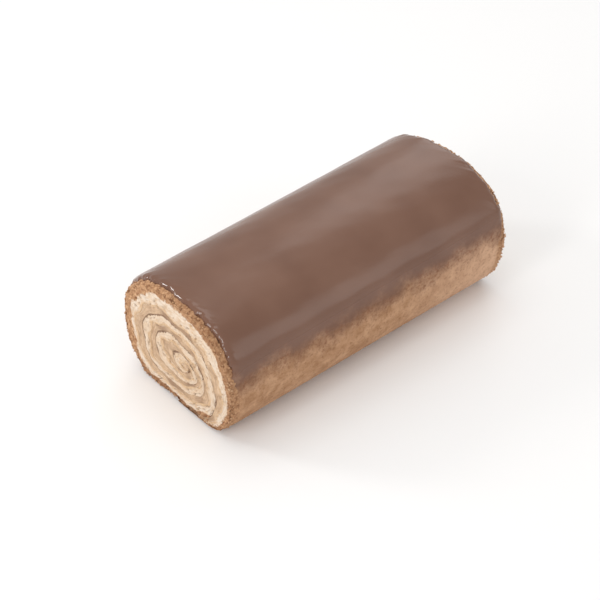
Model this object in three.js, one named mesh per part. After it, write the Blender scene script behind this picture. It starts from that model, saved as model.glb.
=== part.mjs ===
// A chocolate-glazed swiss roll lying on its seam: a sheet of pale sponge with a browned crust,
// spread with mocha cream and wound into a spiral, then glazed over the top and halfway down
// the sides. Millimetres, +Z up, X along the roll, origin under the middle of the roll.

import * as THREE from 'three';

// ---- Driving dimensions ------------------------------------------------------------------
const rollLength = 182;
const sheetHalfWidth = 41.8; // half the width of the sponge at the narrow end
const sheetTop = 64.5; // height of the sponge at the narrow end
const farEndGrowth = 1.065; // the wide end is this much larger
const squareness = 2.4; // superellipse exponent of the outline, 2 is an ellipse
const floorSink = 0.833; // how much of the lower half stands above the floor, the rest is sat flat
const floorSoftness = 2.6; // radius that eases the sides into the flat underside
const coreSquareness = 2.05; // the windings get rounder towards the centre
const coreSoftness = 24;

const windPitch = 0.23; // one turn of sponge and cream, as a share of the outline
const creamShare = 0.092; // the cream's part of that turn
const outerTurnShare = 0.225; // extra thickness of the outermost turn, with its crust
const windOffset = 0.12; // how far the windings sit off centre
const windOffsetAngle = 130; // degrees round from the seam
const tailTaper = 70; // degrees over which the sheet's outer end thins to a wedge
const tailShare = 0.3; // thickness left at that outer end
const tailSlot = 0.15; // share of the cream's room left open there
const seamEase = 15; // degrees over which the outline dips to the seam
const sheetSweep = 1440; // degrees from the outer end of the sheet to the inner end
const coreShare = 0.045; // smallest winding at the centre
const windCentreY = -2.6;
const windCentreZ = 29;

const edgeRound = 1.6; // the crust breaks back this far round each cut
const edgeDepth = 3.2; // and this deep from the cut face
const edgeRaggedness = 0.45; // how unevenly it does, as a share

const glazeThickness = 1.7;
const glazeHemThickness = 0.5; // at the thin lower edge
const glazeHemHeight = 0.52; // of the height, where the glaze ends on both sides
const glazeHemWave = 1.6;
const glazeThinning = 26; // degrees of the section over which it thins towards the hem
const glazeSetback = 3.4; // bare crust between the glaze and each cut
const glazeLip = 0.9; // extra thickness of the bead along the end edges
const glazeLipLength = 4.5;
const glazeEndWave = 1.1;

const gap = 0.3; // between two pieces
const creamRecess = 0.4; // the cream lies back from the cut faces
const creamEye = 0.012; // share where the cream ends at the centre
const outlineStep = 7.5; // degrees between points round the outside
const windStep = 15; // degrees between points on the windings
const glazeColumns = 26; // facets of the glaze across the roll

// ---- Small helpers -------------------------------------------------------------------------
const degrees = THREE.MathUtils.degToRad;
const signedPower = (value, power) => Math.sign(value) * Math.abs(value) ** power;
const ease = (value) => THREE.MathUtils.smoothstep(value, 0, 1);
const centre = new THREE.Vector2(windCentreY, windCentreZ);

// Height eased onto the floor: nothing below it, and a smooth start above it.
function settle(height, softness) {
  if (height <= -softness) return 0;
  if (height >= softness) return height;
  return (height + softness) ** 2 / (4 * softness);
}

// A point of the narrow end's section. The angle starts at the seam, under the roll, and runs
// towards -Y, over the top and back along +Y. A share of 1 is on the outline, and a smaller one
// is on a rounder winding that much nearer the centre.
const halfHeight = sheetTop / (1 + floorSink);
function ring(angle, share = 1) {
  const turn = degrees(angle);
  const inward = Math.max(0, 1 - share);
  const power = 2 / THREE.MathUtils.lerp(squareness, coreSquareness, inward);
  const softness = floorSoftness + coreSoftness * inward;
  const y = -sheetHalfWidth * signedPower(Math.sin(turn), power);
  const height = halfHeight * (floorSink - signedPower(Math.cos(turn), power));
  const onOutline = new THREE.Vector2(y, settle(height, softness));
  return onOutline.sub(centre).multiplyScalar(share).add(centre);
}
const shareOf = (angle, millimetres) => millimetres / ring(angle).distanceTo(centre);

// ---- The winding ---------------------------------------------------------------------------
// How far in from the outline the inner side of a turn lies, after this many degrees.
function windDepth(sweep) {
  const wound = (windPitch * sweep) / 360 + outerTurnShare;
  const sideways = windOffset * Math.cos(degrees(sweep - windOffsetAngle));
  const tail = tailShare + (1 - tailShare) * ease(sweep / tailTaper);
  return (wound + sideways) * tail;
}

// The outer side of the sheet: the outline for one turn, then the turn before it.
function sheetOuter(sweep) {
  if (sweep >= 360) return Math.max(1 - windDepth(sweep - 360), coreShare * 1.6);
  const seam = ease((sweep - 360 + seamEase) / seamEase);
  return 1 - seam * windDepth(0);
}

function sheetInner(sweep) {
  const cream = creamShare * (tailSlot + (1 - tailSlot) * ease(sweep / tailTaper));
  return Math.max(1 - windDepth(sweep) + cream, coreShare);
}

// ---- Along the roll ------------------------------------------------------------------------
const halfLength = rollLength / 2;
const growth = (x) => 1 + (farEndGrowth - 1) * ((x + halfLength) / rollLength);
const place = (x, point) => [x, point.x * growth(x), point.y * growth(x)];

// A closed body from strips, one for each station along the roll. A strip lies in the section,
// between an outer and an inner path, and both run the same way by the same degrees of sweep.
function loft(name, stations, outerSweeps, innerSweeps, outerPoint, innerPoint, finish) {
  const outerCount = outerSweeps.length;
  const around = outerCount + innerSweeps.length;
  const positions = [];
  for (const x of stations) {
    for (const sweep of outerSweeps) positions.push(...outerPoint(sweep, x));
    for (const sweep of innerSweeps) positions.push(...innerPoint(sweep, x));
  }
  const faces = [];
  const loop = [
    ...outerSweeps.keys(),
    ...[...innerSweeps.keys()].reverse().map((i) => outerCount + i),
  ];
  for (let station = 0; station + 1 < stations.length; station++) {
    const near = station * around;
    const far = near + around;
    loop.forEach((i, order) => {
      const next = loop[(order + 1) % around];
      faces.push(near + i, far + next, near + next, near + i, far + i, far + next);
    });
  }
  const last = (stations.length - 1) * around;
  let [i, j] = [0, 0];
  while (i + 1 < outerCount || j + 1 < innerSweeps.length) {
    const outerNext = outerSweeps[i + 1] ?? Infinity;
    const innerNext = innerSweeps[j + 1] ?? Infinity;
    const stepOuter = outerNext <= innerNext;
    const third = stepOuter ? i + 1 : outerCount + j + 1;
    faces.push(i, third, outerCount + j);
    faces.push(last + i, last + outerCount + j, last + third);
    if (stepOuter) i += 1;
    else j += 1;
  }
  const geometry = new THREE.BufferGeometry();
  geometry.setAttribute('position', new THREE.Float32BufferAttribute(positions, 3));
  geometry.setIndex(faces);
  geometry.computeVertexNormals();
  const mesh = new THREE.Mesh(geometry, new THREE.MeshStandardMaterial(finish));
  mesh.name = name;
  return mesh;
}

// Evenly spaced values from first to last, both included.
function spread(first, last, step) {
  const count = Math.max(1, Math.round((last - first) / step));
  return Array.from({ length: count + 1 }, (_, i) => first + ((last - first) * i) / count);
}

// ---- Sponge --------------------------------------------------------------------------------
// How far the crust breaks back at this place, in crags round the cut.
function edgeBreak(sweep, x) {
  const around = degrees(sweep) + Math.sign(x);
  const crags = 0.6 * Math.sin(9 * around) + 0.4 * Math.sin(16 * around + 1);
  const inside = Math.min((halfLength - Math.abs(x)) / edgeDepth, 1);
  const rounding = 1 - Math.sqrt(1 - (1 - inside) ** 2);
  return edgeRound * (1 + edgeRaggedness * crags) * rounding;
}

const edgeStations = [0, 0.12, 0.4, 1].map((part) => part * edgeDepth);
const sponge = loft(
  'sponge',
  [
    ...edgeStations.map((inset) => inset - halfLength),
    ...spread(-60, 60, 30),
    ...edgeStations.map((inset) => halfLength - inset).reverse(),
  ],
  [...spread(0, 360 - outlineStep, outlineStep), ...spread(360, sheetSweep, windStep)],
  spread(0, sheetSweep, windStep),
  (sweep, x) => {
    const exposed = sweep < 360 ? shareOf(sweep, edgeBreak(sweep, x)) : 0;
    return place(x, ring(sweep, sheetOuter(sweep) - exposed));
  },
  (sweep, x) => place(x, ring(sweep, sheetInner(sweep))),
  { color: 0xe6cba8, roughness: 0.9, metalness: 0 },
);

// ---- Cream ---------------------------------------------------------------------------------
const creamSweeps = spread(2 * windStep, sheetSweep, windStep);
const filling = loft(
  'filling',
  [creamRecess - halfLength, halfLength - creamRecess],
  creamSweeps,
  creamSweeps,
  (sweep, x) => place(x, ring(sweep, sheetInner(sweep) - shareOf(sweep, gap))),
  (sweep, x) => {
    const share = 1 - windDepth(sweep) + shareOf(sweep, gap);
    return place(x, ring(sweep, Math.max(share, creamEye)));
  },
  { color: 0xd4b594, roughness: 0.6, metalness: 0 },
);

// ---- Glaze ---------------------------------------------------------------------------------
// The angle at which the section reaches this share of its height, on the -Y side.
const angleAtHeight = (share) => {
  const cosine = (share * (1 + floorSink) - floorSink) ** (squareness / 2);
  return THREE.MathUtils.radToDeg(Math.acos(-cosine));
};
const hemAngle = angleAtHeight(glazeHemHeight);

// A slow wave of about this size, different for each side.
const wave = (x, size, phase) =>
  size * (0.6 * Math.sin(x / 11 + phase) + 0.4 * Math.sin(x / 4.7 + 2.3 * phase));

function glazePoint(part, station, lift) {
  const hemNear = hemAngle + wave(station, glazeHemWave, 1);
  const hemFar = 360 - hemAngle + wave(station, glazeHemWave, 2);
  const angle = THREE.MathUtils.lerp(hemNear, hemFar, part);
  const fromHem = Math.min(angle - hemNear, hemFar - angle);
  const full = ease(fromHem / glazeThinning);
  const end = halfLength - glazeSetback - Math.abs(station);
  const bead = glazeLip * Math.sin(Math.PI * Math.min(end / glazeLipLength, 1));
  const edge = Math.sqrt(Math.min(1, 0.08 + end / glazeThickness));
  const thick = glazeHemThickness + (glazeThickness - glazeHemThickness + bead) * full;
  const outward = gap + lift * thick * edge;
  const waver = wave(angle / 2, glazeEndWave, Math.sign(station)) * Math.exp(-end / 8);
  const x = station + Math.sign(station) * waver;
  return place(x, ring(angle, 1 + shareOf(angle, outward)));
}

const lipStations = [0, 0.4, 1.1, 2.3, 4, 7].map((inset) => inset + glazeSetback);
const glazeParts = spread(0, 1, 1 / glazeColumns);
const glaze = loft(
  'glaze',
  [
    ...lipStations.map((inset) => inset - halfLength),
    ...spread(-75, 75, 6.25),
    ...lipStations.map((inset) => halfLength - inset).reverse(),
  ],
  glazeParts,
  glazeParts,
  (part, x) => glazePoint(part, x, 1),
  (part, x) => glazePoint(part, x, 0),
  { color: 0x6b4636, roughness: 0.25, metalness: 0 },
);

export default new THREE.Group().add(sponge, filling, glaze);
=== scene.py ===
import math
import random

import bpy
import numpy as np
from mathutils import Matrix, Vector


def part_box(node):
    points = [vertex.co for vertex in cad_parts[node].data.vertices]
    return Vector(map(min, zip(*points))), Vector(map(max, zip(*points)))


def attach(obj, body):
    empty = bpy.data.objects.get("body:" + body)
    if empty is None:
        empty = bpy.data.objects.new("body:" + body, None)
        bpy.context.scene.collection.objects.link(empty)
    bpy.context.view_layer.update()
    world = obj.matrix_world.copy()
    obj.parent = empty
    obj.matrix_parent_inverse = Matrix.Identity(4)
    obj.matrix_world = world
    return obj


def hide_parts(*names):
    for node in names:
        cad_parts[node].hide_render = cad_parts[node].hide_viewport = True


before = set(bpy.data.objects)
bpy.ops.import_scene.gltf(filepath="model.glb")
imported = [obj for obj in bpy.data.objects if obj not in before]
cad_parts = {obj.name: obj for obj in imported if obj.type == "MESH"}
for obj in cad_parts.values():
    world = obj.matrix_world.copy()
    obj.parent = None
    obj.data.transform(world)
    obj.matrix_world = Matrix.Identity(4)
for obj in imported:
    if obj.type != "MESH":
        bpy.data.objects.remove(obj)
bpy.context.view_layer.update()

# A chocolate-glazed swiss roll. Lengths are in millimetres here, and in metres in the meshes.
mm = 0.001
near = 0.01             # two lengths or shares closer than this are the same
aboveTable = 0.02       # nothing of the roll lies lower than this


def linear(hexColour):
    channels = [int(hexColour[i:i + 2], 16) / 255 for i in (1, 3, 5)]
    return [c / 12.92 if c <= 0.04045 else ((c + 0.055) / 1.055) ** 2.4 for c in channels] + [1]


def addNode(tree, kind, settings, links=None):
    # a setting is the node's own property where it has one of that name, and else an input socket
    node = tree.nodes.new(kind)
    for key, value in settings.items():
        if isinstance(key, str) and hasattr(node, key):
            setattr(node, key, value)
        else:
            node.inputs[key].default_value = value
    for key, socket in (links or {}).items():
        tree.links.new(socket, node.inputs[key])
    return node


def newMaterial(name):
    material = bpy.data.materials.new(name)
    material.use_nodes = True
    material.node_tree.nodes.clear()
    return material, material.node_tree


def only(piece):
    bpy.ops.object.select_all(action="DESELECT")
    piece.select_set(True)
    bpy.context.view_layer.objects.active = piece


def coordinates(piece):
    flat = np.empty(len(piece.data.vertices) * 3)
    piece.data.vertices.foreach_get("co", flat)
    return flat.reshape(-1, 3) / mm


def moveTo(piece, points):
    piece.data.vertices.foreach_set("co", (np.asarray(points) * mm).ravel())
    piece.data.update()


def store(piece, name, values):
    layer = piece.data.attributes.new(name, "FLOAT", "POINT")
    layer.data.foreach_set("value", np.asarray(values, dtype=np.float32))


def subdivideEdges(piece, chosen, cuts):
    # chosen tests the two ends of every edge, given as arrays of points in mm
    points = coordinates(piece)
    ends = np.empty(len(piece.data.edges) * 2, dtype=int)
    piece.data.edges.foreach_get("vertices", ends)
    ends = ends.reshape(-1, 2)
    picked = chosen(points[ends[:, 0]], points[ends[:, 1]])
    only(piece)
    bpy.context.tool_settings.mesh_select_mode = (False, True, False)
    bpy.ops.object.mode_set(mode="EDIT")
    bpy.ops.mesh.select_all(action="DESELECT")
    bpy.ops.object.mode_set(mode="OBJECT")
    piece.data.edges.foreach_set("select", picked)
    bpy.ops.object.mode_set(mode="EDIT")
    bpy.ops.mesh.subdivide(number_cuts=cuts)
    bpy.ops.object.mode_set(mode="OBJECT")


def faceOutwards(piece):
    only(piece)
    bpy.ops.object.mode_set(mode="EDIT")
    bpy.ops.mesh.select_all(action="SELECT")
    bpy.ops.mesh.normals_make_consistent(inside=False)
    bpy.ops.object.mode_set(mode="OBJECT")
    bpy.ops.object.shade_smooth()


# The view, the table and the light
view = {
    "place": (-385.1, -425.0, 490.9),   # of the camera
    "heading": 48.73,       # degrees from +X towards +Y
    "downward": 39.69,      # degrees
    "lens": 87.2,           # on a 36 mm sensor
}
studio = {
    "sky": 0.72,
    "skyColour": "#ffffff",
    "floor": "#f4f3f2",
    "floorSize": 6000,
    # place, size and power of each softbox
    "softboxes": [((0, 200, 1000), 600, 1.8),
                  ((1050, 620, 850), 800, 2.6),
                  ((-800, -150, 420), 260, 1.3),
                  ((400, -820, 380), 500, 0.9),
                  ((-620, -60, 560), 150, 0.5),
                  ((-500, 650, 450), 170, 1.5)],
}


def makeCamera():
    heading, downward = math.radians(view["heading"]), math.radians(view["downward"])
    forward = Vector((math.cos(downward) * math.cos(heading),
                      math.cos(downward) * math.sin(heading),
                      -math.sin(downward)))
    bpy.ops.object.camera_add(location=Vector(view["place"]) * mm,
                              rotation=forward.to_track_quat("-Z", "Y").to_euler())
    camera = bpy.context.object
    camera.data.lens = view["lens"]
    camera.data.clip_start = 0.01
    bpy.context.scene.camera = camera


def addSoftbox(place, size, power):
    aim = Vector((0, 0, 30)) - Vector(place)
    bpy.ops.object.light_add(type="AREA", location=Vector(place) * mm,
                             rotation=aim.to_track_quat("-Z", "Y").to_euler())
    light = bpy.context.object.data
    light.shape = "SQUARE"
    light.size = size * mm
    light.energy = power


def makeStudio():
    scene = bpy.context.scene
    scene.view_settings.view_transform = "Standard"
    scene.world = bpy.data.worlds.new("studioWhite")
    scene.world.use_nodes = True
    background = scene.world.node_tree.nodes["Background"]
    background.inputs["Color"].default_value = linear(studio["skyColour"])
    background.inputs["Strength"].default_value = studio["sky"]
    for softbox in studio["softboxes"]:
        addSoftbox(*softbox)
    bpy.ops.mesh.primitive_plane_add(size=studio["floorSize"] * mm)
    table = bpy.context.object
    table.name = "table"
    material, tree = newMaterial("matteWhiteLaminate")
    finish = addNode(tree, "ShaderNodeBsdfPrincipled",
                     {"Base Color": linear(studio["floor"]), "Roughness": 0.7})
    addNode(tree, "ShaderNodeOutputMaterial", {}, {"Surface": finish.outputs["BSDF"]})
    table.data.materials.append(material)


# The section of the roll. Angle 0 is the seam, under it, and angles run by -Y over the top.
roll = {
    "length": 2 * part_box("sponge")[1].x / mm,
    "halfWidth": 41.8,      # of the sponge at the narrow end
    "top": 64.5,
    "farEndGrowth": 1.065,  # the wide end is this much larger
    "squareness": 2.4,      # 2 is an ellipse
    "floorSink": 0.833,     # how much of the lower half stands above the table
    "floorSoftness": 2.6,   # radius that eases the sides into the flat underside
    "coreSquareness": 2.05,     # the windings get rounder towards the centre
    "coreSoftness": 24,
    "centre": (-2.6, 29),   # of the windings, as y and z
}
winding = {
    "pitch": 0.23,          # one turn of sponge and cream, as a share of the outline
    "cream": 0.092,         # the cream's part of that turn
    "outerTurn": 0.225,     # extra thickness of the outermost turn
    "offset": 0.12,         # how far the windings sit off centre
    "offsetAngle": 130,     # degrees round from the seam
    "tailTaper": 70,        # degrees over which the sheet's outer end thins to a wedge
    "tail": 0.3,            # thickness left at that end
    "tailSlot": 0.15,       # share of the cream's room left open there
    "seamEase": 15,         # degrees over which the outline dips to the seam
    "sweep": 1440,          # degrees from the outer end of the sheet to the inner end
    "core": 0.045,          # smallest winding at the centre
    "eye": 0.012,           # share where the cream ends
    "unevenness": 0.7,      # how far the windings wander
    "loose": (0.96, 0.22),  # share below which they do, and over how much of it that begins
    "creamUnevenness": 0.5,
    "aside": -2.7,          # how far they all lie to the -Y side
    "eyeShift": (-5.6, 0.6),    # and how far the innermost ones lie aside, as y and z
    "eyeShare": 0.5,        # share below which they do
}
halfLength = roll["length"] / 2
halfHeight = roll["top"] / (1 + roll["floorSink"])


def ease(value):
    value = np.clip(value, 0, 1)
    return value * value * (3 - 2 * value)


def signedPower(value, power):
    return np.sign(value) * np.abs(value) ** power


def settle(height, softness):
    eased = (height + softness) ** 2 / (4 * softness)
    return np.where(height <= -softness, 0, np.where(height >= softness, height, eased))


def rough(value, seed):
    # an uneven wave between -1 and 1
    draw = random.Random(seed)
    waves = ((0.45, 1), (0.3, 2.3), (0.25, 4.7))
    return sum(size * np.sin(pace * value + draw.uniform(0, 6.28)) for size, pace in waves)


def ring(angle, share):
    turn = np.radians(angle)
    inward = np.maximum(0, 1 - share)
    power = 2 / (roll["squareness"] + (roll["coreSquareness"] - roll["squareness"]) * inward)
    softness = roll["floorSoftness"] + roll["coreSoftness"] * inward
    y = -roll["halfWidth"] * signedPower(np.sin(turn), power)
    height = halfHeight * (roll["floorSink"] - signedPower(np.cos(turn), power))
    centreY, centreZ = roll["centre"]
    return (centreY + share * (y - centreY),
            centreZ + share * (settle(height, softness) - centreZ))


def shareOf(angle, length):
    y, z = ring(angle, np.ones_like(angle))
    return length / np.hypot(y - roll["centre"][0], z - roll["centre"][1])


def growth(x):
    return 1 + (roll["farEndGrowth"] - 1) * (x + halfLength) / roll["length"]


def place(x, angle, share):
    y, z = ring(angle, share)
    # the windings wander a little inside a true outline, in waves about 30 and 15 mm long, and
    # the two ends aren't alike
    end = x / halfLength
    below, over = winding["loose"]
    loose = winding["unevenness"] * ease((below - share) / over)
    core = ease(1 - share / winding["eyeShare"])
    wanderY = np.sin(0.21 * z + 1.3 + end) + 0.5 * np.sin(0.4 * z + 0.3 * y + 0.5 + 2 * end)
    wanderZ = np.sin(0.19 * y + 0.4 + end) + 0.5 * np.sin(0.4 * y - 0.26 * z + 2 - 2 * end)
    y = y + loose * (wanderY + winding["aside"]) + core * winding["eyeShift"][0]
    z = z + loose * wanderZ + core * winding["eyeShift"][1]
    return np.stack([x, y * growth(x), z * growth(x)], axis=-1)


def windDepth(sweep):
    wound = winding["pitch"] * sweep / 360 + winding["outerTurn"]
    sideways = winding["offset"] * np.cos(np.radians(sweep - winding["offsetAngle"]))
    tail = winding["tail"] + (1 - winding["tail"]) * ease(sweep / winding["tailTaper"])
    return (wound + sideways) * tail


def sheetOuter(sweep):
    # the outline for one turn, and then the turn before
    seam = ease((sweep - 360 + winding["seamEase"]) / winding["seamEase"])
    inTurn = np.maximum(1 - windDepth(np.maximum(sweep - 360, 0)), winding["core"] * 1.6)
    return np.where(sweep >= 360, inTurn, 1 - seam * windDepth(np.zeros_like(sweep)))


def sheetInner(sweep):
    opened = winding["tailSlot"] + (1 - winding["tailSlot"]) * ease(sweep / winding["tailTaper"])
    spread = winding["cream"] * opened * (1 + winding["creamUnevenness"] * rough(sweep / 23, 5))
    return np.maximum(1 - windDepth(sweep) + spread, winding["core"])


def creamInner(sweep):
    return np.maximum(1 - windDepth(sweep), winding["eye"])


def creamOuter(sweep):
    return np.where(sweep > winding["sweep"], creamInner(sweep - 360), sheetInner(sweep))


def unroll(outerSide, innerSide, first, last):
    # the sweep at each length along a wound sheet, midway between its two sides
    sweeps = np.linspace(first, last, 4000)
    y, z = ring(sweeps, (outerSide(sweeps) + innerSide(sweeps)) / 2)
    steps = np.hypot(np.diff(y), np.diff(z))
    return np.concatenate([[0], np.cumsum(steps)]), sweeps


def makeSlab(name, length, spacing, thickness, layers, halfWidth, endBand):
    # a flat slab, before it is wound: X runs along the sheet, Y into it and Z along the roll
    columns = round(length / spacing)
    bpy.ops.object.select_all(action="DESELECT")
    bpy.ops.mesh.primitive_grid_add(x_subdivisions=columns, y_subdivisions=layers, size=mm,
                                    location=(0, 0, 0))
    slab = bpy.context.object
    slab.name = name
    bpy.ops.object.mode_set(mode="EDIT")
    bpy.ops.mesh.select_all(action="SELECT")
    bpy.ops.transform.resize(value=(length, thickness, 1), center_override=(0, 0, 0))
    bpy.ops.transform.translate(value=(length / 2 * mm, thickness / 2 * mm, -halfWidth * mm))
    for step in (endBand, 2 * (halfWidth - endBand), endBand):
        bpy.ops.mesh.extrude_region_move(TRANSFORM_OT_translate={"value": (0, 0, step * mm)})
    bpy.ops.object.mode_set(mode="OBJECT")
    return slab


def addRelief(piece, name, kind, size, depth, middle, group, stretch, ramp=None):
    # raises or sinks the flat sheet by a texture of this size and depth, before it is wound
    texture = bpy.data.textures.new(name, kind)
    texture.noise_scale = size * mm
    if kind == "CLOUDS":
        texture.noise_depth = 2
    if ramp:
        texture.use_color_ramp = True
        for element, position, level in zip(texture.color_ramp.elements, ramp, (0, 1)):
            element.position = position
            element.color = (level, level, level, 1)
    bpy.ops.object.empty_add(scale=(1, 1, 1))
    grain = bpy.context.object
    grain.scale = (stretch, 1, 1)       # longer along the sheet
    modifier = piece.modifiers.new(name, "DISPLACE")
    modifier.texture = texture
    modifier.strength = depth * mm
    modifier.mid_level = middle
    modifier.texture_coords = "OBJECT"
    modifier.texture_coords_object = grain
    modifier.vertex_group = group
    only(piece)
    bpy.ops.object.modifier_apply(modifier=name)
    bpy.data.objects.remove(grain)


def makeGroup(piece, name, weights):
    # in tenths, so that the points of one weight are added together
    group = piece.vertex_groups.new(name=name)
    tenths = np.round(np.clip(weights, 0, 1) * 10)
    for tenth in range(1, 11):
        group.add(np.nonzero(tenths == tenth)[0].tolist(), tenth / 10, "REPLACE")


# Sponge: baked as a sheet with a browned crust, and wound with the crust outwards
sponge = {
    "crumb": 0.45,          # spacing of the mesh on the cut faces
    "layers": 20,           # rows of it across the sheet
    "thickness": 6,         # of the sheet while it is flat
    "endBand": 6,           # finely modelled length of crust at each end
    "endRows": 12,
    "sideRows": 170,
    "bareHeight": 0.62,     # share of the height up to which the crust is modelled finely
    "underside": 0.3,       # height up to which the crust lies smooth on the table
    "edgeRound": 1.6,       # the crust breaks back this far round each cut
    "edgeDepth": 3.2,       # and this deep from the cut face
    "edgeRaggedness": 0.45,     # how unevenly it does, as a share
    "cragReach": 4,         # how far the crags go on over the cut face
    # texture, its size, depth and resting level, the part it is on, how much longer it is along
    # the sheet, and for holes the stretch of its values over which their walls fall
    "relief": {
        "crumb": ("CLOUDS", 0.9, 0.5, 0.7, "cut", 1),
        "grain": ("CLOUDS", 0.8, 0.8, 0.65, "cut", 7),
        "pores": ("CLOUDS", 1.5, 1.0, 1.0, "cut", 1.6, (0.28, 0.37)),
        "holes": ("CLOUDS", 3.2, 1.1, 1.0, "cut", 1.3, (0.2, 0.27)),
        "skin": ("CLOUDS", 1.6, 0.3, 0.6, "crust", 1),
        "crags": ("CLOUDS", 1.3, 1.3, 0.65, "crags", 1),
        "chips": ("VORONOI", 2.2, 1.0, 0.8, "crags", 1),
    },
    "crust": 2.5,           # depth of the browning on a cut face
    "backCrust": 3.6,       # and more of it on the +Y side
    "shoulderCrust": 2.2,   # and high on the -Y side
    "shoulderTurn": 2.2,    # where that is, in radians from the seam
    "crustUnevenness": 0.25,
    "crustTo": 415,         # sweep up to which the browning is thick
    "crustEase": 30,
    "hairlineFrom": 400,    # sweep from which a fine dark line parts the turns
    "hairline": (0.15, 0.4, 0.6),   # its strength: always, on one side, and unevenly
    "crease": 0.9,          # depth of the opening between two turns
    "creaseReach": 0.5,     # its width
    # where that opening shows most, and over how many degrees of sweep
    "openings": ((440, 26), (622, 62), (818, 18), (962, 22), (1003, 12), (1360, 50)),
    "tornBand": 5,          # crumbly length of crust at each end
    "soaked": 0.6,          # how much of the cream's moisture the inner turns took up
}


def coverHeight(points):
    # the share of the roll's height, with the chocolate run lower towards the near end
    x, z = points[:, 0], points[:, 2]
    return z / (roll["top"] * growth(x)) - glaze["ranLower"] * x / halfLength


def edgeBreak(sweep, x):
    around = np.radians(sweep) + np.sign(x)
    crags = 0.6 * np.sin(9 * around) + 0.4 * np.sin(16 * around + 1)
    inside = np.clip((halfLength - np.abs(x)) / sponge["edgeDepth"], 0, 1)
    rounding = 1 - np.sqrt(1 - (1 - inside) ** 2)
    return sponge["edgeRound"] * (1 + sponge["edgeRaggedness"] * crags) * rounding


def makeSponge():
    lengths, sweeps = unroll(sheetOuter, sheetInner, 0, winding["sweep"])
    slab = makeSlab("sponge_sheet", lengths[-1], sponge["crumb"], sponge["thickness"],
                    sponge["layers"], halfLength, sponge["endBand"])
    outerTurn = np.interp(360, sweeps, lengths)
    middleEnd = halfLength - sponge["endBand"]

    def crustEdges(first, second):
        onCrust = (first[:, 1] < near) & (second[:, 1] < near) & (first[:, 0] < outerTurn)
        return onCrust & (np.abs(first[:, 2] - second[:, 2]) > near)

    def bandEdges(first, second):
        return crustEdges(first, second) & (np.abs(first[:, 2] + second[:, 2]) / 2 > middleEnd)

    def sideEdges(first, second):
        sweep = np.interp(first[:, 0], lengths, sweeps)
        height = ring(sweep, np.ones_like(sweep))[1]
        bare = (height > sponge["underside"]) & (height < roll["top"] * sponge["bareHeight"])
        middle = np.abs(first[:, 2] + second[:, 2]) / 2 < middleEnd
        return crustEdges(first, second) & bare & middle

    subdivideEdges(slab, bandEdges, sponge["endRows"] - 1)
    subdivideEdges(slab, sideEdges, sponge["sideRows"] - 1)
    print("sponge slab", len(slab.data.vertices), "vertices")

    # as thick as it is to be when wound, so that the relief keeps its size
    flat = coordinates(slab)
    sweep = np.interp(flat[:, 0], lengths, sweeps)
    outer, inner = sheetOuter(sweep), sheetInner(sweep)
    into = flat[:, 1] / sponge["thickness"]
    thickness = (outer - inner) / shareOf(sweep, 1.0)
    flat[:, 1] = thickness * into
    moveTo(slab, flat)
    onCut = np.abs(flat[:, 2]) > halfLength - near
    onCrust = (into < near) & (flat[:, 0] < outerTurn)
    nearCrust = onCut * np.exp(-flat[:, 1] / sponge["cragReach"]) * (sweep < sponge["crustTo"])
    offTable = ring(sweep, np.ones_like(sweep))[1] > sponge["underside"]
    makeGroup(slab, "cut", onCut.astype(float))
    makeGroup(slab, "crust", onCrust * offTable)
    makeGroup(slab, "crags", nearCrust + onCrust * (np.abs(flat[:, 2]) > middleEnd + near))
    for name, settings in sponge["relief"].items():
        addRelief(slab, name, *settings)

    worn = coordinates(slab)
    turn = np.radians(sweep)
    always, oneSide, unevenly = sponge["hairline"]
    hairline = always + oneSide * np.sin(turn + 3.4) + unevenly * rough(sweep / 11, 8)
    for middle, reach in sponge["openings"]:
        hairline = hairline + np.exp(-((sweep - middle) / reach) ** 4)
    hairline = np.clip(hairline, 0, 1) * (sweep > sponge["hairlineFrom"])
    crease = sponge["crease"] * hairline * np.exp(-flat[:, 1] / sponge["creaseReach"]) * onCut
    x = np.clip(worn[:, 2], -halfLength, halfLength)
    x = x - np.sign(x) * crease
    share = outer + (inner - outer) * into
    broken = np.where(sweep < 360, edgeBreak(sweep, x), 0) * (1 - into)
    raised = np.where(into < near, flat[:, 1] - worn[:, 1], 0)
    share = share + shareOf(sweep, raised - broken)
    points = place(x, sweep, share)
    points[:, 2] = np.maximum(points[:, 2], aboveTable)
    moveTo(slab, points)
    crust = sponge["crust"] + sponge["backCrust"] * np.maximum(0, -np.sin(turn)) ** 0.7
    shoulder = np.maximum(0, np.cos(turn - sponge["shoulderTurn"])) ** 2
    crust = crust + sponge["shoulderCrust"] * shoulder
    crust = crust * (1 + sponge["crustUnevenness"] * rough(sweep / 9, 3))
    crust = crust * ease((sponge["crustTo"] - sweep) / sponge["crustEase"])
    toEnd = halfLength - np.abs(flat[:, 2])
    store(slab, "alongSheet", flat[:, 0])
    store(slab, "intoSheet", flat[:, 1])
    store(slab, "fromCream", thickness * (1 - into))
    store(slab, "crustDepth", crust)
    store(slab, "shoulder", shoulder)
    store(slab, "hairline", hairline)
    store(slab, "soaked", sponge["soaked"] * ease((0.9 - share) / 0.4))
    store(slab, "torn", ease(1.6 - toEnd / sponge["tornBand"]))
    store(slab, "coverHeight", np.where(onCrust, coverHeight(points) * ease(toEnd / 3 - 0.7), 0))
    # how deep each point lies, for the painted shade in holes and creases
    store(slab, "pitShade", np.abs(worn[:, 2] - flat[:, 2]) * onCut - raised * onCrust + crease)
    faceOutwards(slab)
    slab.data.materials.append(makeSpongeFinish())
    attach(slab, "root")
    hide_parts("sponge")
    print("sponge", len(slab.data.polygons), "faces")


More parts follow.
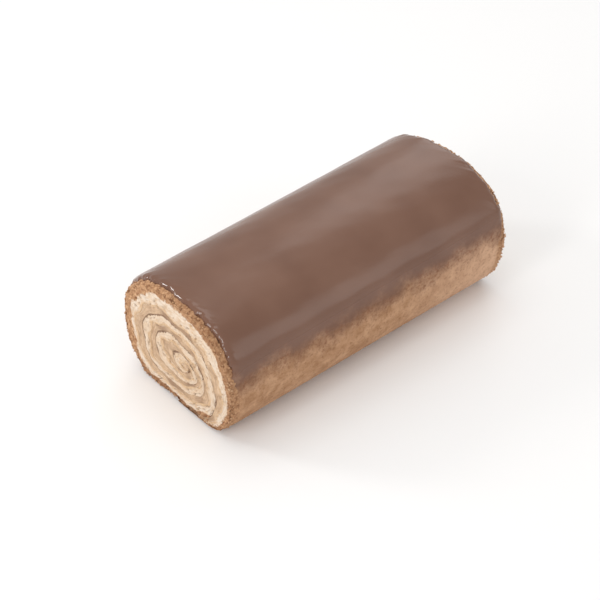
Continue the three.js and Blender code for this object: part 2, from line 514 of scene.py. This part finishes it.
crumbColours = {
    "pale": "#e5d4c2",
    "tan": "#d3b28f",
    "soaked": "#d1b08b",
    "skin": "#80604a",
    "crust": "#a57b59",
    "crustDark": "#845a3c",
    "crustLight": "#c09775",
    # painted reflection: the pale haze towards the far end
    "farEndSheen": "#e4bda0",
    "torn": "#bd8f68",
    "grainDark": "#8d5e3f",
    "grainLight": "#dfb58c",
    # painted shade in the holes, slits and creases
    "pitShade": "#9c7e64",
    "chocolate": "#775544",
    "chocolateDeep": "#6e4c3b",
    "speck": "#7a4a33",
}


def bakedColour(tree, where):
    # browned by the oven: soft blotches some millimetres wide, with small darker freckles
    blotch = addNode(tree, "ShaderNodeTexNoise",
                     {"Scale": 1 / (7 * mm), "Detail": 5, "Roughness": 0.65},
                     {"Vector": where}).outputs["Fac"]
    tone = addNode(tree, "ShaderNodeMapRange", {"From Min": 0.38, "From Max": 0.62},
                   {"Value": blotch}).outputs["Result"]
    colour = addNode(tree, "ShaderNodeMix",
                     {"data_type": "RGBA", 6: linear(crumbColours["crust"]),
                      7: linear(crumbColours["crustLight"])}, {0: tone}).outputs[2]
    # and paler towards the far end: painted reflection, a pale haze of light over the far part
    along = addNode(tree, "ShaderNodeSeparateXYZ", {}, {"Vector": where}).outputs["X"]
    paler = addNode(tree, "ShaderNodeMapRange",
                    {"From Min": 15 * mm, "From Max": 70 * mm, "To Max": 0.4},
                    {"Value": along}).outputs["Result"]
    colour = addNode(tree, "ShaderNodeMix",
                     {"data_type": "RGBA", 7: linear(crumbColours["farEndSheen"])},
                     {0: paler, 6: colour}).outputs[2]
    grain = addNode(tree, "ShaderNodeTexNoise",
                    {"Scale": 1 / (1.5 * mm), "Detail": 3, "Roughness": 0.6},
                    {"Vector": where}).outputs["Fac"]
    freckle = addNode(tree, "ShaderNodeMapRange",
                      {"From Min": 0.52, "From Max": 0.72, "To Max": 0.55},
                      {"Value": grain}).outputs["Result"]
    return addNode(tree, "ShaderNodeMix",
                   {"data_type": "RGBA", 7: linear(crumbColours["crustDark"])},
                   {0: freckle, 6: colour}).outputs[2]


def coveredColour(tree, where, height, crust):
    # chocolate over the crust: whole above, and soaked in with reddish flecks where it runs out
    blotch = addNode(tree, "ShaderNodeTexNoise",
                     {"Scale": 1 / (30 * mm), "Detail": 2, "Roughness": 0.5},
                     {"Vector": where}).outputs["Fac"]
    tone = addNode(tree, "ShaderNodeMapRange", {"From Min": 0.35, "From Max": 0.65},
                   {"Value": blotch}).outputs["Result"]
    chocolate = addNode(tree, "ShaderNodeMix",
                        {"data_type": "RGBA", 6: linear(crumbColours["chocolateDeep"]),
                         7: linear(crumbColours["chocolate"])}, {0: tone}).outputs[2]
    clouds = addNode(tree, "ShaderNodeTexNoise",
                     {"Scale": 1 / (12 * mm), "Detail": 5, "Roughness": 0.62},
                     {"Vector": where}).outputs["Fac"]
    waver = addNode(tree, "ShaderNodeMath", {"operation": "MULTIPLY_ADD", 1: 0.36, 2: -0.18},
                    {0: clouds}).outputs[0]
    raised = addNode(tree, "ShaderNodeMath", {"operation": "ADD"}, {0: height, 1: waver}).outputs[0]
    cover = addNode(tree, "ShaderNodeMapRange",
                    {"interpolation_type": "SMOOTHSTEP", "From Min": 0.41, "From Max": 0.69},
                    {"Value": raised}).outputs["Result"]
    colour = addNode(tree, "ShaderNodeMix", {"data_type": "RGBA"},
                     {0: cover, 6: crust, 7: chocolate}).outputs[2]
    grain = addNode(tree, "ShaderNodeTexNoise",
                    {"Scale": 1 / (2.2 * mm), "Detail": 4, "Roughness": 0.7},
                    {"Vector": where}).outputs["Fac"]
    fleck = addNode(tree, "ShaderNodeMapRange",
                    {"From Min": 0.5, "From Max": 0.66, "To Max": 0.65},
                    {"Value": grain}).outputs["Result"]
    begun = addNode(tree, "ShaderNodeMapRange", {"From Min": 0.44, "From Max": 0.54},
                    {"Value": raised}).outputs["Result"]
    over = addNode(tree, "ShaderNodeMapRange",
                   {"From Min": 0.57, "From Max": 0.7, "To Min": 1, "To Max": 0},
                   {"Value": raised}).outputs["Result"]
    band = addNode(tree, "ShaderNodeMath", {"operation": "MULTIPLY"},
                   {0: begun, 1: over}).outputs[0]
    fleck = addNode(tree, "ShaderNodeMath", {"operation": "MULTIPLY"},
                    {0: fleck, 1: band}).outputs[0]
    return addNode(tree, "ShaderNodeMix", {"data_type": "RGBA", 7: linear(crumbColours["speck"])},
                   {0: fleck, 6: colour}).outputs[2]


def paleCrumb(tree, stored, patches, ragged):
    # pale, streaked along the sheet, and stained for a millimetre or two beside the cream
    onSheet = addNode(tree, "ShaderNodeCombineXYZ", {},
                      {"X": stored["alongSheet"], "Y": stored["intoSheet"]}).outputs["Vector"]
    stretched = addNode(tree, "ShaderNodeMapping", {"Scale": (0.16, 1.0, 1)},
                        {"Vector": onSheet}).outputs["Vector"]
    streaks = addNode(tree, "ShaderNodeTexNoise", {"Scale": 1.0, "Detail": 5, "Roughness": 0.72},
                      {"Vector": stretched}).outputs["Fac"]
    mottle = addNode(tree, "ShaderNodeMath", {"operation": "MULTIPLY_ADD", 1: 0.7},
                     {0: patches, 2: streaks}).outputs[0]
    stain = addNode(tree, "ShaderNodeMapRange", {"From Max": 2.4, "To Min": 0.34, "To Max": 0},
                    {"Value": stored["fromCream"]}).outputs["Result"]
    lifted = addNode(tree, "ShaderNodeMath", {"operation": "SUBTRACT"},
                     {0: mottle, 1: stain}).outputs[0]
    tone = addNode(tree, "ShaderNodeMapRange", {"From Min": 0.62, "From Max": 0.93},
                   {"Value": lifted}).outputs["Result"]
    colour = addNode(tree, "ShaderNodeMix",
                     {"data_type": "RGBA", 6: linear(crumbColours["tan"]),
                      7: linear(crumbColours["pale"])}, {0: tone}).outputs[2]
    soaking = addNode(tree, "ShaderNodeMath", {"operation": "MULTIPLY"},
                      {0: stored["soaked"], 1: patches}).outputs[0]
    colour = addNode(tree, "ShaderNodeMix",
                     {"data_type": "RGBA", 7: linear(crumbColours["soaked"])},
                     {0: soaking, 6: colour}).outputs[2]

    # the browned outer side of the sheet: a broken dark hair line on the inner turns
    hair = addNode(tree, "ShaderNodeMath", {"operation": "MULTIPLY_ADD", 1: 3.4, 2: -0.4},
                   {0: ragged}).outputs[0]
    width = addNode(tree, "ShaderNodeMath", {"operation": "MULTIPLY"},
                    {0: hair, 1: stored["hairline"]}).outputs[0]
    within = addNode(tree, "ShaderNodeMath", {"operation": "SUBTRACT"},
                     {0: width, 1: stored["intoSheet"]}).outputs[0]
    line = addNode(tree, "ShaderNodeMapRange", {"From Min": 0, "From Max": 0.5, "To Max": 0.9},
                   {"Value": within}).outputs["Result"]
    return addNode(tree, "ShaderNodeMix", {"data_type": "RGBA", 7: linear(crumbColours["skin"])},
                   {0: line, 6: colour}).outputs[2]


def tornCrust(tree, where, stored, ragged):
    # browned, and torn into light and dark grains round the cuts
    torn = addNode(tree, "ShaderNodeMath", {"operation": "MULTIPLY", 1: 0.6},
                   {0: stored["torn"]}).outputs[0]
    colour = addNode(tree, "ShaderNodeMix", {"data_type": "RGBA", 7: linear(crumbColours["torn"])},
                     {0: torn, 6: bakedColour(tree, where)}).outputs[2]
    grains = addNode(tree, "ShaderNodeTexNoise",
                     {"Scale": 1 / (1.6 * mm), "Detail": 4, "Roughness": 0.65},
                     {"Vector": where}).outputs["Fac"]
    for name, low, high, atLow, atHigh in (("grainLight", 0.5, 0.66, 0, 0.65),
                                           ("grainDark", 0.32, 0.5, 0.8, 0)):
        share = addNode(tree, "ShaderNodeMapRange",
                        {"From Min": low, "From Max": high, "To Min": atLow, "To Max": atHigh},
                        {"Value": grains}).outputs["Result"]
        share = addNode(tree, "ShaderNodeMath", {"operation": "MULTIPLY"},
                        {0: share, 1: stored["torn"]}).outputs[0]
        colour = addNode(tree, "ShaderNodeMix",
                         {"data_type": "RGBA", 7: linear(crumbColours[name])},
                         {0: share, 6: colour}).outputs[2]

    # darker by the table and high on the -Y side: partly painted shade, partly browner crust
    height = addNode(tree, "ShaderNodeSeparateXYZ", {}, {"Vector": where}).outputs["Z"]
    darker = addNode(tree, "ShaderNodeMapRange",
                     {"From Min": 1 * mm, "From Max": 8 * mm, "To Min": 1.5, "To Max": 0},
                     {"Value": height}).outputs["Result"]
    darker = addNode(tree, "ShaderNodeMath", {"operation": "MULTIPLY_ADD", 1: 0.7},
                     {0: stored["shoulder"], 2: darker}).outputs[0]
    darker = addNode(tree, "ShaderNodeMath", {"operation": "MULTIPLY"},
                     {0: darker, 1: stored["torn"]}).outputs[0]
    darker = addNode(tree, "ShaderNodeMath", {"operation": "MULTIPLY"},
                     {0: darker, 1: ragged}).outputs[0]
    return addNode(tree, "ShaderNodeMix",
                   {"data_type": "RGBA", 7: linear(crumbColours["crustDark"])},
                   {0: darker, 6: colour}).outputs[2]


def makeSpongeFinish():
    # egg sponge, cut with a knife: pale open crumb, matt, and browned where it met the oven
    material, tree = newMaterial("bakedEggSponge")
    where = addNode(tree, "ShaderNodeTexCoord", {}).outputs["Object"]
    stored = {name: addNode(tree, "ShaderNodeAttribute", {"attribute_name": name}).outputs["Fac"]
              for name in ("alongSheet", "intoSheet", "fromCream", "crustDepth", "shoulder",
                           "hairline", "soaked", "torn", "coverHeight", "pitShade")}
    patches = addNode(tree, "ShaderNodeTexNoise",
                      {"Scale": 1 / (4 * mm), "Detail": 3, "Roughness": 0.6},
                      {"Vector": where}).outputs["Fac"]
    ragged = addNode(tree, "ShaderNodeTexNoise",
                     {"Scale": 1 / (1.8 * mm), "Detail": 4, "Roughness": 0.65},
                     {"Vector": where}).outputs["Fac"]

    # the crust reaches in to its depth, with a ragged edge, and ends soon after one turn
    waver = addNode(tree, "ShaderNodeMath", {"operation": "MULTIPLY_ADD", 1: -4, 2: 2},
                    {0: ragged}).outputs[0]
    spare = addNode(tree, "ShaderNodeMath", {"operation": "SUBTRACT"},
                    {0: stored["crustDepth"], 1: stored["intoSheet"]}).outputs[0]
    spare = addNode(tree, "ShaderNodeMath", {"operation": "ADD"}, {0: spare, 1: waver}).outputs[0]
    browned = addNode(tree, "ShaderNodeMapRange",
                      {"interpolation_type": "SMOOTHSTEP", "From Min": -0.2, "From Max": 0.6},
                      {"Value": spare}).outputs["Result"]
    outermost = addNode(tree, "ShaderNodeMath", {"operation": "GREATER_THAN", 1: 0.5},
                        {0: stored["crustDepth"]}).outputs[0]
    browned = addNode(tree, "ShaderNodeMath", {"operation": "MULTIPLY"},
                      {0: browned, 1: outermost}).outputs[0]
    colour = addNode(tree, "ShaderNodeMix", {"data_type": "RGBA"},
                     {0: browned, 6: paleCrumb(tree, stored, patches, ragged),
                      7: tornCrust(tree, where, stored, ragged)}).outputs[2]
    colour = coveredColour(tree, where, stored["coverHeight"], colour)

    # painted shade: darker in the holes, slits and creases
    paintedPitShade = addNode(tree, "ShaderNodeMapRange",
                   {"From Min": 0.5, "From Max": 1.4, "To Max": 0.75},
                   {"Value": stored["pitShade"]}).outputs["Result"]
    colour = addNode(tree, "ShaderNodeMix",
                     {"data_type": "RGBA", "blend_type": "MULTIPLY",
                      7: linear(crumbColours["pitShade"])}, {0: paintedPitShade, 6: colour}).outputs[2]
    fine = addNode(tree, "ShaderNodeTexNoise", {"Scale": 1 / (0.5 * mm), "Detail": 2},
                   {"Vector": where}).outputs["Fac"]
    bump = addNode(tree, "ShaderNodeBump", {"Strength": 0.5, "Distance": 0.25 * mm},
                   {"Height": fine}).outputs["Normal"]
    finish = addNode(tree, "ShaderNodeBsdfPrincipled",
                     {"Roughness": 0.85, "IOR": 1.4, "Specular IOR Level": 0.4},
                     {"Base Color": colour, "Normal": bump})
    addNode(tree, "ShaderNodeOutputMaterial", {}, {"Surface": finish.outputs["BSDF"]})
    return material


# Cream: spread on the sheet and wound up with it
cream = {
    "spacing": 0.6,         # of the mesh along the sheet
    "layers": 12,           # rows of it across
    "thickness": 4,         # while it is flat
    "endBand": 10,
    "relief": {
        "smear": ("CLOUDS", 0.9, 1.3, 0.7, "cut", 8),
        "bubbles": ("CLOUDS", 1.8, 0.7, 1.0, "cut", 1.5, (0.22, 0.3)),
    },
    "firstSweep": 9,        # clear of the seam
    "lastSweep": 1500,      # past the end of the sponge, into the hollow it leaves
    "recess": 0.3,          # behind the cut faces of the sponge
    "eyeRecess": 2,         # how deep that hollow stays open
    "overlap": 0.12,        # into the sponge on both sides, so that no gap shows
    "aboveTable": 0.05,
    "seed": 8,              # of the darker places
}


def makeCream():
    lengths, sweeps = unroll(creamOuter, creamInner, cream["firstSweep"], cream["lastSweep"])
    reach = halfLength - cream["recess"]
    slab = makeSlab("mocha_cream", lengths[-1], cream["spacing"], cream["thickness"],
                    cream["layers"], reach, cream["endBand"])
    flat = coordinates(slab)
    onCut = np.abs(flat[:, 2]) > reach - near
    makeGroup(slab, "cut", onCut.astype(float))
    for name, settings in cream["relief"].items():
        addRelief(slab, name, *settings)
    worn = coordinates(slab)
    sweep = np.interp(flat[:, 0], lengths, sweeps)
    into = flat[:, 1] / cream["thickness"]
    spare = shareOf(sweep, cream["overlap"])
    outer, inner = creamOuter(sweep) + spare, creamInner(sweep) - spare
    x = np.clip(worn[:, 2], -halfLength, halfLength)
    x = x - np.sign(x) * cream["eyeRecess"] * ease((sweep - winding["sweep"]) / 8)
    points = place(x, sweep, np.maximum(outer + (inner - outer) * into, 0))
    points[:, 2] = np.maximum(points[:, 2], cream["aboveTable"])
    moveTo(slab, points)
    store(slab, "alongSheet", flat[:, 0])
    store(slab, "intoSheet", flat[:, 1])
    store(slab, "fromSponge", into * (outer - inner) / shareOf(sweep, 1.0))
    store(slab, "rich", np.clip(1.6 * rough(sweep / 29, cream["seed"]), 0, 1))
    faceOutwards(slab)
    slab.data.materials.append(makeCreamFinish())
    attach(slab, "root")
    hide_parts("filling")
    print("cream", len(slab.data.polygons), "faces")


creamColours = {
    "light": "#d6b694",
    "dark": "#b39274",
    "rich": "#9c7b60",
    "edge": "#dfc4a8",
}


def makeCreamFinish():
    # whipped mocha cream, dragged a little by the knife: closed, smoother than the crumb
    material, tree = newMaterial("whippedMochaCream")
    where = addNode(tree, "ShaderNodeTexCoord", {}).outputs["Object"]
    along = addNode(tree, "ShaderNodeAttribute", {"attribute_name": "alongSheet"}).outputs["Fac"]
    into = addNode(tree, "ShaderNodeAttribute", {"attribute_name": "intoSheet"}).outputs["Fac"]
    edge = addNode(tree, "ShaderNodeAttribute", {"attribute_name": "fromSponge"}).outputs["Fac"]
    onSheet = addNode(tree, "ShaderNodeCombineXYZ", {}, {"X": along, "Y": into}).outputs["Vector"]
    stretched = addNode(tree, "ShaderNodeMapping", {"Scale": (0.15, 1.0, 1)},
                        {"Vector": onSheet}).outputs["Vector"]
    streaks = addNode(tree, "ShaderNodeTexNoise", {"Scale": 1.0, "Detail": 3, "Roughness": 0.6},
                      {"Vector": stretched}).outputs["Fac"]
    patches = addNode(tree, "ShaderNodeTexNoise",
                      {"Scale": 1 / (5 * mm), "Detail": 3, "Roughness": 0.6},
                      {"Vector": where}).outputs["Fac"]
    mottle = addNode(tree, "ShaderNodeMath", {"operation": "ADD"},
                     {0: patches, 1: streaks}).outputs[0]
    tone = addNode(tree, "ShaderNodeMapRange", {"From Min": 0.8, "From Max": 1.2},
                   {"Value": mottle}).outputs["Result"]
    colour = addNode(tree, "ShaderNodeMix",
                     {"data_type": "RGBA", 6: linear(creamColours["dark"]),
                      7: linear(creamColours["light"])}, {0: tone}).outputs[2]

    rich = addNode(tree, "ShaderNodeAttribute", {"attribute_name": "rich"}).outputs["Fac"]
    rich = addNode(tree, "ShaderNodeMath", {"operation": "MULTIPLY"}, {0: rich, 1: patches})
    rich = addNode(tree, "ShaderNodeMath", {"operation": "MULTIPLY", 1: 1.6, "use_clamp": True},
                   {0: rich.outputs[0]})
    colour = addNode(tree, "ShaderNodeMix", {"data_type": "RGBA", 7: linear(creamColours["rich"])},
                     {0: rich.outputs[0], 6: colour}).outputs[2]

    # crumb picked up from the sponge outside it
    smeared = addNode(tree, "ShaderNodeMath", {"operation": "MULTIPLY_ADD", 1: 3.2, 2: -1.0},
                      {0: patches}).outputs[0]
    within = addNode(tree, "ShaderNodeMath", {"operation": "SUBTRACT"},
                     {0: smeared, 1: edge}).outputs[0]
    crumb = addNode(tree, "ShaderNodeMapRange",
                    {"interpolation_type": "SMOOTHSTEP", "From Min": -0.4, "From Max": 0.9,
                     "To Max": 0.85}, {"Value": within}).outputs["Result"]
    colour = addNode(tree, "ShaderNodeMix", {"data_type": "RGBA", 7: linear(creamColours["edge"])},
                     {0: crumb, 6: colour}).outputs[2]
    fine = addNode(tree, "ShaderNodeTexNoise", {"Scale": 1 / (0.8 * mm), "Detail": 2},
                   {"Vector": where}).outputs["Fac"]
    bump = addNode(tree, "ShaderNodeBump", {"Strength": 0.4, "Distance": 0.2 * mm},
                   {"Height": fine}).outputs["Normal"]
    finish = addNode(tree, "ShaderNodeBsdfPrincipled", {"Roughness": 0.6, "IOR": 1.45},
                     {"Base Color": colour, "Normal": bump})
    addNode(tree, "ShaderNodeOutputMaterial", {}, {"Surface": finish.outputs["BSDF"]})
    return material


# Glaze: poured over the top, run halfway down the sides and soaked in where it thins out
glaze = {
    "thickness": 1.7,
    "hemHeight": 0.5,       # of the roll's height
    "ranLower": 0.022,      # and how much lower it ran at the near end
    "hemWave": 1.6,
    "hemLift": -0.3,        # the hem soaks into the crust
    "thinning": 30,         # degrees of the section over which it thins towards the hem
    "setbacks": (3.4, 2.2),     # at the near end and at the far end
    "rollOver": 3.4,        # radius of the rounded end edges
    "endWave": 0.8,         # how far those edges wander
    "lobes": 0.5,           # small uneven tongues along them
    "lumps": 0.55,          # uneven thickness there
    "pooling": 0.07,        # uneven thickness of the whole glaze
    "underlap": 0.35,       # into the crust, so that no gap shows
    "dip": 0.8,             # of the very end into the torn crust
    "rows": 200,            # along the roll
    "columns": 150,         # across it
    "crowding": 0.75,       # of the rows towards the ends
}


def wave(x, size, phase):
    return size * (0.6 * np.sin(x / 11 + phase) + 0.4 * np.sin(x / 4.7 + 2.3 * phase))


def angleAtHeight(share):
    sink = roll["floorSink"]
    cosine = (share * (1 + sink) - sink) ** (roll["squareness"] / 2)
    return math.degrees(math.acos(-cosine))


def makeGlaze():
    bpy.ops.object.select_all(action="DESELECT")
    bpy.ops.mesh.primitive_grid_add(x_subdivisions=glaze["rows"], y_subdivisions=glaze["columns"],
                                    size=2 * mm, location=(0, 0, 0))
    shell = bpy.context.object
    shell.name = "chocolate_glaze"
    bpy.ops.object.mode_set(mode="EDIT")
    bpy.ops.mesh.select_all(action="SELECT")
    bpy.ops.mesh.extrude_region_move(TRANSFORM_OT_translate={"value": (0, 0, mm)})
    bpy.ops.object.mode_set(mode="OBJECT")
    flat = coordinates(shell)
    reach = halfLength - np.where(flat[:, 0] < 0, *glaze["setbacks"])
    crowding = glaze["crowding"]
    station = reach * ((1 - crowding) * flat[:, 0] + crowding * np.sin(flat[:, 0] * math.pi / 2))
    part = (1 + flat[:, 1]) / 2
    hem = angleAtHeight(glaze["hemHeight"])
    hemNear = hem + wave(station, glaze["hemWave"], 1)
    hemFar = 360 - hem + wave(station, glaze["hemWave"], 2)
    angle = hemNear + (hemFar - hemNear) * part
    fromHem = np.minimum(angle - hemNear, hemFar - angle)
    full = ease(fromHem / glaze["thinning"])
    toEnd = reach - np.abs(station)
    rolled = np.sqrt(1 - (1 - np.clip(toEnd / glaze["rollOver"], 0, 1)) ** 2)
    # slow swells all over, and lumps a few millimetres long by the ends
    pooled = glaze["pooling"] * (rough(station / 15 + angle / 12, 1)
                                 + rough(angle / 13 - station / 21, 2)
                                 + rough(angle / 9 + station / 40, 10))
    lump = glaze["lumps"] * rough(angle / 3.7 + station / 2.5, 9) * np.exp(-toEnd / 3)
    thick = glaze["hemLift"] + (glaze["thickness"] - glaze["hemLift"] + pooled + lump) * full
    outward = np.where(flat[:, 2] > 0.5, thick * rolled, -glaze["underlap"])
    outward = outward - glaze["dip"] * np.exp(-toEnd / 1.2)
    side = np.sign(station)
    uneven = np.where(side > 0, rough(angle / 9, 3), rough(angle / 9, 4)) * glaze["endWave"]
    lobe = np.abs(np.where(side > 0, rough(angle / 3.1, 5), rough(angle / 3.1, 6)))
    uneven = uneven * np.exp(-toEnd / 8) + glaze["lobes"] * (2 * lobe - 1) * np.exp(-toEnd / 2)
    points = place(station + side * uneven, angle, 1 + shareOf(angle, outward))
    moveTo(shell, points)
    store(shell, "coverHeight", coverHeight(points))
    store(shell, "toEnd", toEnd)
    faceOutwards(shell)
    shell.data.materials.append(makeGlazeFinish())
    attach(shell, "root")
    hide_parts("glaze")
    print("glaze", len(shell.data.polygons), "faces")


def makeGlazeFinish():
    # milk chocolate glaze, set with a soft gloss: closed and smooth, with faint spatula marks
    material, tree = newMaterial("setMilkChocolateGlaze")
    where = addNode(tree, "ShaderNodeTexCoord", {}).outputs["Object"]
    height = addNode(tree, "ShaderNodeAttribute",
                     {"attribute_name": "coverHeight"}).outputs["Fac"]
    toEnd = addNode(tree, "ShaderNodeAttribute", {"attribute_name": "toEnd"}).outputs["Fac"]
    colour = coveredColour(tree, where, height, bakedColour(tree, where))
    wiped = addNode(tree, "ShaderNodeMapping", {"Scale": (0.1, 1, 1)},
                    {"Vector": where}).outputs["Vector"]
    marks = addNode(tree, "ShaderNodeTexNoise",
                    {"Scale": 1 / (4 * mm), "Detail": 3, "Roughness": 0.5},
                    {"Vector": wiped}).outputs["Fac"]
    bump = addNode(tree, "ShaderNodeBump", {"Strength": 0.15, "Distance": 0.25 * mm},
                   {"Height": marks}).outputs["Normal"]
    fine = addNode(tree, "ShaderNodeTexNoise", {"Scale": 1 / (0.5 * mm), "Detail": 2},
                   {"Vector": where}).outputs["Fac"]
    skin = addNode(tree, "ShaderNodeTexNoise", {"Scale": 1 / (1.6 * mm), "Detail": 2},
                   {"Vector": where}).outputs["Fac"]
    grain = addNode(tree, "ShaderNodeMath", {"operation": "MULTIPLY_ADD", 1: 1.4},
                    {0: skin, 2: fine}).outputs[0]
    whole = addNode(tree, "ShaderNodeMapRange",
                    {"interpolation_type": "SMOOTHSTEP", "From Min": 0.57, "From Max": 0.72},
                    {"Value": height}).outputs["Result"]
    thin = addNode(tree, "ShaderNodeMapRange", {"To Min": 0.5, "To Max": 0},
                   {"Value": whole}).outputs["Result"]
    bump = addNode(tree, "ShaderNodeBump", {"Distance": 0.25 * mm},
                   {"Strength": thin, "Height": grain, "Normal": bump}).outputs["Normal"]
    gloss = addNode(tree, "ShaderNodeMapRange",
                    {"From Min": 1, "From Max": 6, "To Min": 0.1, "To Max": 0.25},
                    {"Value": toEnd}).outputs["Result"]
    matt = addNode(tree, "ShaderNodeMix", {2: 0.85}, {0: whole, 3: gloss}).outputs[0]
    finish = addNode(tree, "ShaderNodeBsdfPrincipled", {"IOR": 1.46},
                     {"Base Color": colour, "Roughness": matt, "Normal": bump})
    addNode(tree, "ShaderNodeOutputMaterial", {}, {"Surface": finish.outputs["BSDF"]})
    return material


# Crumbs: torn loose by the knife and stuck round both cuts
crumbs = {
    "onCrust": 420,
    "onCut": 400,
    "underneath": 0.45,     # share of those on the cut that lie near the table
    "lowAngles": (8, 22),   # middle and spread of their angles
    "smallest": 0.25,       # radius
    "largest": 0.85,
    "squash": (0.6, 1.1),   # least and most of that radius, in each direction
    "jaggedness": 0.45,
    "spread": 3.0,          # from the cut, along the crust
    "depth": 3.2,           # in from the crust, on the cut
    "seed": 7,
}


def makeCrumbs():
    draw = random.Random(crumbs["seed"])
    bpy.ops.object.select_all(action="DESELECT")
    bpy.ops.mesh.primitive_ico_sphere_add(subdivisions=1, radius=mm, location=(0, 0, 0))
    model = bpy.context.object
    model.name = "crust_crumbs"
    bpy.ops.object.mode_set(mode="EDIT")
    bpy.ops.mesh.select_all(action="SELECT")
    bpy.ops.transform.vertex_random(offset=crumbs["jaggedness"] * mm, seed=crumbs["seed"])
    bpy.ops.object.mode_set(mode="OBJECT")
    copies = []
    for number in range(crumbs["onCrust"] + crumbs["onCut"]):
        onCrust = number < crumbs["onCrust"]
        low = not onCrust and draw.random() < crumbs["underneath"]
        angle = np.array([draw.gauss(*crumbs["lowAngles"]) if low else draw.uniform(10, 350)])
        side = draw.choice((-1, 1))
        size = crumbs["smallest"] + (crumbs["largest"] - crumbs["smallest"]) * draw.random() ** 3
        inset = draw.uniform(0.3, crumbs["spread"]) if onCrust else size * 0.9
        depth = 0.1 if onCrust else draw.random() * crumbs["depth"]
        x = np.array([side * (halfLength - inset)])
        spot = place(x, angle, 1 - shareOf(angle, edgeBreak(angle, x) + depth))[0]
        bit = model.copy()
        bit.data = model.data.copy()
        bpy.context.scene.collection.objects.link(bit)
        bit.location = Vector(spot) * mm
        bit.scale = [size * draw.uniform(*crumbs["squash"]) for axis in range(3)]
        bit.rotation_euler = [draw.uniform(0, 6.28) for axis in range(3)]
        copies.append(bit)
    bpy.data.objects.remove(model)
    only(copies[0])
    for bit in copies:
        bit.select_set(True)
    bpy.ops.object.join()
    joined = bpy.context.object
    joined.name = "crust_crumbs"
    bpy.ops.object.transform_apply(location=True, rotation=True, scale=True)
    points = coordinates(joined)
    points[:, 0] = np.clip(points[:, 0], -halfLength, halfLength)
    points[:, 2] = np.maximum(points[:, 2], aboveTable)
    moveTo(joined, points)
    faceOutwards(joined)
    joined.data.materials.append(makeCrumbFinish())
    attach(joined, "root")
    print("crumbs", len(joined.data.polygons), "faces")


def makeCrumbFinish():
    # bits of browned crust and of pale crumb, matt
    material, tree = newMaterial("toastedCrustCrumbs")
    where = addNode(tree, "ShaderNodeTexCoord", {}).outputs["Object"]
    mixed = addNode(tree, "ShaderNodeTexNoise", {"Scale": 1 / (2.5 * mm)},
                    {"Vector": where}).outputs["Fac"]
    pale = addNode(tree, "ShaderNodeMapRange",
                   {"From Min": 0.54, "From Max": 0.7, "To Max": 0.5},
                   {"Value": mixed}).outputs["Result"]
    colour = addNode(tree, "ShaderNodeMix", {"data_type": "RGBA", 7: linear(crumbColours["tan"])},
                     {0: pale, 6: bakedColour(tree, where)}).outputs[2]
    finish = addNode(tree, "ShaderNodeBsdfPrincipled", {"Roughness": 0.9, "IOR": 1.4},
                     {"Base Color": colour})
    addNode(tree, "ShaderNodeOutputMaterial", {}, {"Surface": finish.outputs["BSDF"]})
    return material


makeCamera()
makeStudio()
print("view, table and light")
makeSponge()
makeCream()
makeGlaze()
makeCrumbs()
